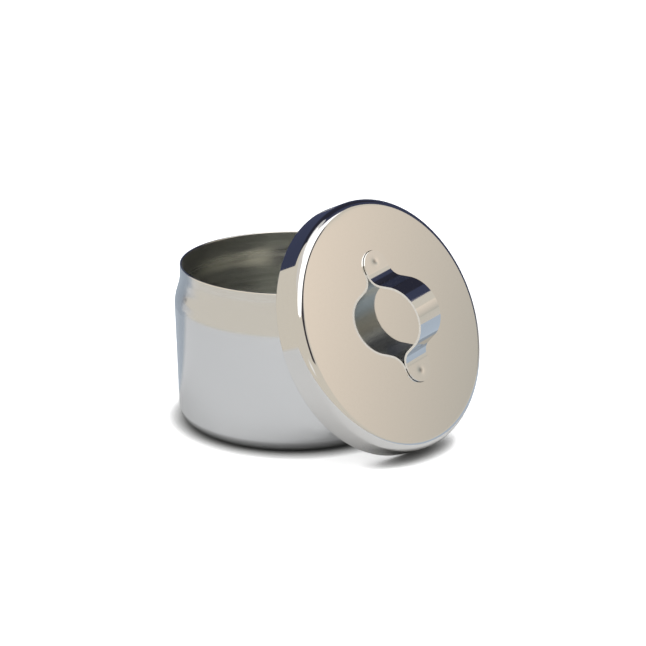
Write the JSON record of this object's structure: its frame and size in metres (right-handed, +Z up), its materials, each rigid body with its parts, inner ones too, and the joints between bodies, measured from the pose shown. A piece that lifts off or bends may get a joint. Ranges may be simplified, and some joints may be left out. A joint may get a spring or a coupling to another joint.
{
  "type": "ointment jar",
  "caption": "Round stainless steel ointment jar with a drawn-in neck, its flat lid with a strap handle taken off and leaning on the rim.",
  "frame": {"origin": "centre of the jar's flat bottom, on the surface it stands on", "axes": "+Z up the jar's axis; the lid leans on the rim towards +X and -Y"},
  "size_m": [0.1223, 0.1212, 0.0948],
  "materials": {
    "jar_steel": "satin outside, turned grain inside",
    "lid_steel": "mirror polished",
    "handle_steel": "polished"
  },
  "bodies": {
    "root": {"jar": "jar_steel", "lid": "lid_steel", "handle": "handle_steel"}
  },
  "joints": []
}
